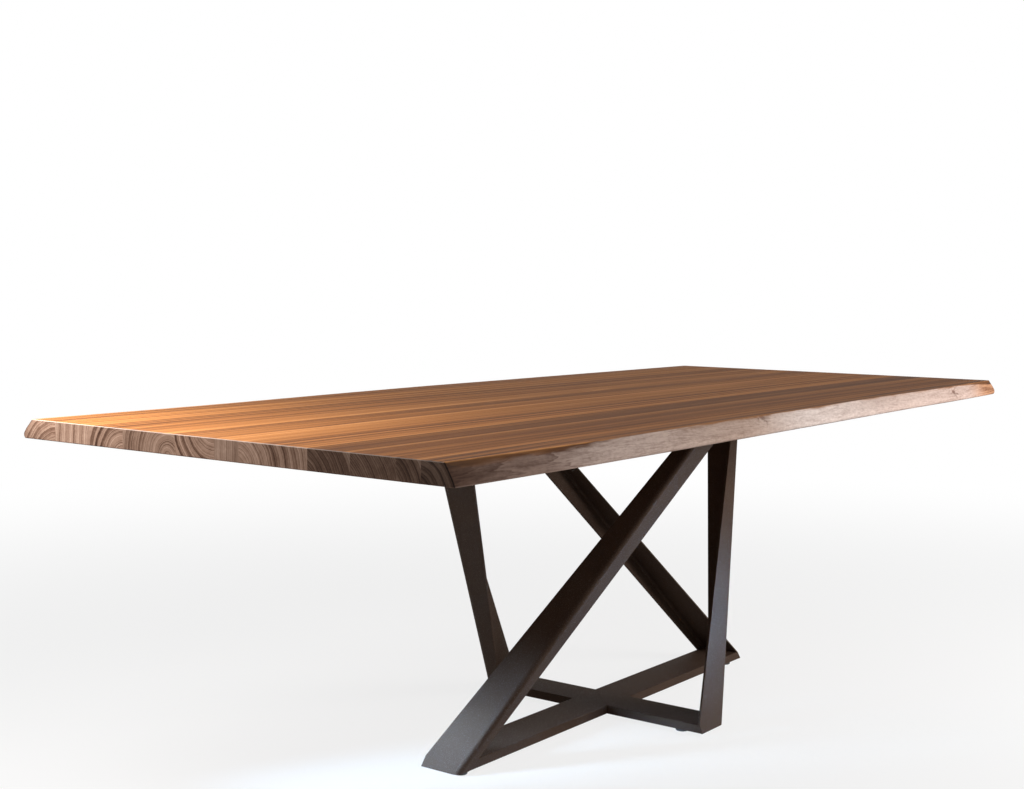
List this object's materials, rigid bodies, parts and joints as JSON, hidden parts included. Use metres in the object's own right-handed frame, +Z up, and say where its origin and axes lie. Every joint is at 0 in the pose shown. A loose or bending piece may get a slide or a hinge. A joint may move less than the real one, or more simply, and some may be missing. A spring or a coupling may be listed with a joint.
{
  "type": "dining table",
  "caption": "Dining table with a live edge walnut top, glued up from boards, on a twisted base of folded, tapering steel legs between a floor cross and a head cross.",
  "frame": {"origin": "on the floor, under the middle of the table top", "axes": "+X along the table to its right end, +Y across it to the back, +Z up; the live edge the picture shows is at -Y"},
  "size_m": [2.44, 1.08, 0.75],
  "materials": {
    "walnut": "satin oil",
    "coated_steel": "fine textured powder coat",
    "zinc_fastener": "zinc plated",
    "brass_insert": "plain",
    "black_glide": "moulded"
  },
  "bodies": {
    "root": {"back_live_edge_board": "walnut", "board_eight": "walnut", "board_five": "walnut", "board_four": "walnut", "board_nine": "walnut", "board_seven": "walnut", "board_six": "walnut", "board_ten": "walnut", "board_three": "walnut", "board_two": "walnut", "floor_arm_back": "coated_steel", "floor_arm_front": "coated_steel", "floor_arm_left": "coated_steel", "floor_arm_right": "coated_steel", "floor_joint_plate": "coated_steel", "floor_joint_screws": "zinc_fastener", "front_live_edge_board": "walnut", "glide_back_1": "black_glide", "glide_back_2": "black_glide", "glide_front_1": "black_glide", "glide_front_2": "black_glide", "glide_left_1": "black_glide", "glide_left_2": "black_glide", "glide_right_1": "black_glide", "glide_right_2": "black_glide", "head_bar_back": "coated_steel", "head_bar_front": "coated_steel", "head_bar_left": "coated_steel", "head_bar_right": "coated_steel", "head_joint_plate": "coated_steel", "head_joint_screws": "zinc_fastener", "leg_back": "coated_steel", "leg_front": "coated_steel", "leg_left": "coated_steel", "leg_right": "coated_steel", "stiffener_left": "coated_steel", "stiffener_right": "coated_steel", "stiffener_screws": "zinc_fastener", "threaded_inserts": "brass_insert", "top_fixing_screws": "zinc_fastener", "top_fixing_washers": "zinc_fastener"}
  },
  "joints": []
}
